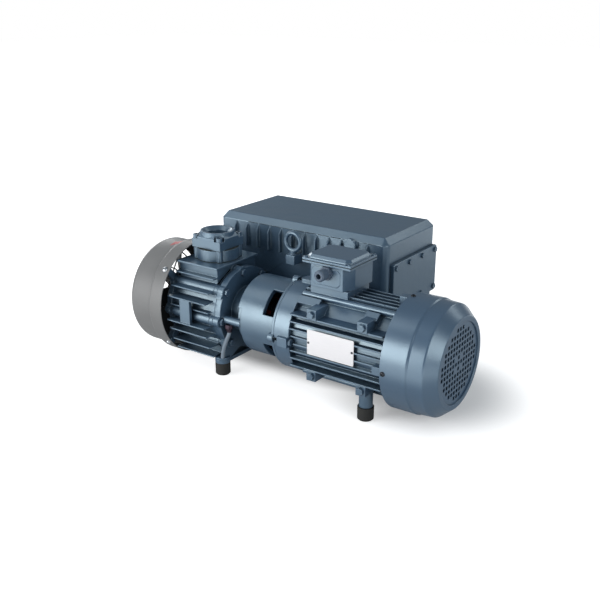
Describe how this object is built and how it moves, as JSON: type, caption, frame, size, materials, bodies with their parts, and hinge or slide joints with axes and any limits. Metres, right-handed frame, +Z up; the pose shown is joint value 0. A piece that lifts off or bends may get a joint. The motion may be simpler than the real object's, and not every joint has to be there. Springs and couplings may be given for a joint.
{
  "type": "oil-lubricated rotary vane vacuum pump",
  "caption": "Rotary vane vacuum pump: finned cylinder with threaded inlet, oil separator behind it, lantern coupling, finned electric motor, fan cover and cowl, rubber feet.",
  "frame": {"origin": "centre of the bounding box on the floor, under the feet", "axes": "+X along the shaft from the pump's fan cover to the motor's fan cowl, +Y towards the oil separator, +Z up"},
  "size_m": [0.7, 0.43, 0.2905],
  "materials": {
    "enamel": "blue-grey machine enamel",
    "cover": "grey satin powder coat",
    "black_steel": "black painted flat steel",
    "black_plastic": "moulded black",
    "rubber": "moulded rubber",
    "elastomer": "cast elastomer",
    "gasket": "flat gasket sheet",
    "zinc": "zinc-plated",
    "steel": "machined steel",
    "hub": "machined cast iron",
    "lamination": "stacked sheet",
    "copper": "varnished copper winding",
    "brass": "turned",
    "gland": "nickel-plated",
    "pipe": "drawn tube",
    "fitting": "blackened brass",
    "plate": "blank anodised plate",
    "aluminium": "turned",
    "vane": "fibre-reinforced resin",
    "filter": "glass fibre fleece",
    "canister": "black enamel",
    "glass": "clear"
  },
  "bodies": {
    "machine": {"bearings": "steel", "cable_gland": "gland", "cowl_grille": "enamel", "drive_end_shield": "enamel", "end_plate_drive_side": "enamel", "end_plate_fan_side": "enamel", "exhaust_cover_plate": "enamel", "exhaust_cover_screws": "zinc", "exhaust_filters": "filter", "exhaust_flange": "enamel", "fan_cover_screws": "zinc", "fan_end_shield": "enamel", "filter_partition": "steel", "filter_springs": "steel", "flange_screws": "zinc", "foot_rail": "black_steel", "foot_studs": "zinc", "gaskets": "gasket", "inlet_flange": "enamel", "inlet_screen": "steel", "inlet_screws": "zinc", "inlet_valve_housing": "enamel", "lantern": "enamel", "lifting_eye_bolt": "enamel", "motor_fan_cowl": "enamel", "motor_foot": "enamel", "motor_frame": "enamel", "motor_pad_bolts": "zinc", "nameplate": "plate", "oil_filter": "canister", "oil_pipe": "pipe", "oil_pipe_fittings": "fitting", "oil_plugs": "brass", "oil_sight_glass": "brass", "outlet_valve": "steel", "pan_screws": "zinc", "pump_cylinder": "enamel", "pump_fan_cover": "cover", "pump_fan_guard": "black_plastic", "rubber_feet": "rubber", "separator_housing": "enamel", "shaft_seals": "rubber", "sight_glass_lens": "glass", "stator_core": "lamination", "stator_windings": "copper", "terminal_block": "black_plastic", "terminal_box_base": "enamel", "terminal_box_lid": "enamel"},
    "motor_rotor": {"motor_shaft": "steel", "rotor_core": "lamination", "motor_fan": "black_plastic", "motor_coupling_hub": "hub"},
    "vane_rotor": {"pump_rotor": "steel", "rotor_vanes": "vane", "pump_fan": "black_plastic", "pump_coupling_hub": "hub", "coupling_spider": "elastomer"},
    "inlet_valve": {"inlet_valve_plate": "aluminium", "inlet_valve_spring": "steel"}
  },
  "joints": [
    {"name": "motor_spin", "type": "hinge", "parent": "machine", "child": "motor_rotor", "pos_m": [-0.35, -0.095, 0.1285], "axis": [1, 0, 0], "continuous": true},
    {"name": "pump_spin", "type": "hinge", "parent": "machine", "child": "vane_rotor", "pos_m": [-0.35, -0.095, 0.1285], "axis": [1, 0, 0], "continuous": true},
    {"name": "inlet_valve_slide", "type": "slide", "parent": "machine", "child": "inlet_valve", "axis": [0, 0, -1], "range_m": [0, 0.008], "stiffness_N_per_m": 150, "springref_m": -0.01, "deforming": ["inlet_valve_spring"]}
  ],
  "couplings": [
    {"joint": "pump_spin", "follows": "motor_spin", "ratio": 1}
  ]
}
